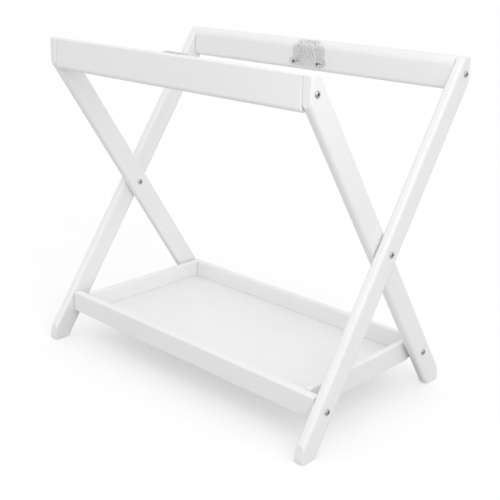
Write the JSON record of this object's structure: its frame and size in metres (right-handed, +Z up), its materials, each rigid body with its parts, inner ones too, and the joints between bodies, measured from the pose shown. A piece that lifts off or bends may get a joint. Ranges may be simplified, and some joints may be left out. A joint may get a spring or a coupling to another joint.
{
  "type": "folding bassinet stand",
  "caption": "Cross-legged folding wooden stand that holds a bassinet between two rails, with a shallow storage tray near the floor.",
  "frame": {"origin": "On the floor, under the middle of the stand's bounding box.", "axes": "X along the rails, +Y to the back, +Z up."},
  "size_m": [0.756, 0.4658, 0.681],
  "materials": {
    "painted_wood": "white satin paint",
    "bare_wood": "bare, glued in",
    "dark_steel": "dark plated",
    "plain_steel": "zinc plated",
    "clear_plastic": "clear, moulded",
    "nylon": "natural, matt"
  },
  "bodies": {
    "outer_frame": {"back_rail": "painted_wood", "outer_leg_left": "painted_wood", "outer_leg_right": "painted_wood", "back_rail_bolt_left": "dark_steel", "back_rail_bolt_right": "dark_steel", "back_rail_barrel_nut_left": "plain_steel", "back_rail_barrel_nut_right": "plain_steel", "back_rail_dowel_left": "bare_wood", "back_rail_dowel_right": "bare_wood", "pivot_bolt_left": "dark_steel", "pivot_bolt_right": "dark_steel", "pivot_sleeve_nut_left": "dark_steel", "pivot_sleeve_nut_right": "dark_steel", "pivot_washer_left": "nylon", "pivot_washer_right": "nylon", "tray_pivot_bolt_left": "dark_steel", "tray_pivot_bolt_right": "dark_steel", "tray_pivot_washer_left": "nylon", "tray_pivot_washer_right": "nylon", "back_clip": "clear_plastic", "back_clip_screw_left": "dark_steel", "back_clip_screw_right": "dark_steel"},
    "inner_frame": {"front_rail": "painted_wood", "inner_leg_left": "painted_wood", "inner_leg_right": "painted_wood", "front_rail_bolt_left": "dark_steel", "front_rail_bolt_right": "dark_steel", "front_rail_barrel_nut_left": "plain_steel", "front_rail_barrel_nut_right": "plain_steel", "front_rail_dowel_left": "bare_wood", "front_rail_dowel_right": "bare_wood", "catch_peg_left": "dark_steel", "catch_peg_right": "dark_steel", "catch_spacer_left": "nylon", "catch_spacer_right": "nylon", "front_clip": "clear_plastic", "front_clip_screw_left": "dark_steel", "front_clip_screw_right": "dark_steel"},
    "tray": {"tray_front_board": "painted_wood", "tray_back_board": "painted_wood", "tray_end_board_left": "painted_wood", "tray_end_board_right": "painted_wood", "tray_base_panel": "painted_wood", "tray_front_dowel_left": "bare_wood", "tray_front_dowel_right": "bare_wood", "tray_back_dowel_left": "bare_wood", "tray_back_dowel_right": "bare_wood", "tray_pivot_insert_left": "plain_steel", "tray_pivot_insert_right": "plain_steel"}
  },
  "joints": [
    {"name": "frame_fold", "type": "hinge", "parent": "outer_frame", "child": "inner_frame", "pos_m": [0, 0, 0.3355], "axis": [-1, 0, 0], "range_deg": [0, 54]},
    {"name": "tray_fold", "type": "hinge", "parent": "outer_frame", "child": "tray", "pos_m": [0, -0.16876, 0.0815], "axis": [1, 0, 0], "range_deg": [0, 60]}
  ],
  "couplings": [
    {"joint": "tray_fold", "follows": "frame_fold", "ratio": 1.111}
  ]
}
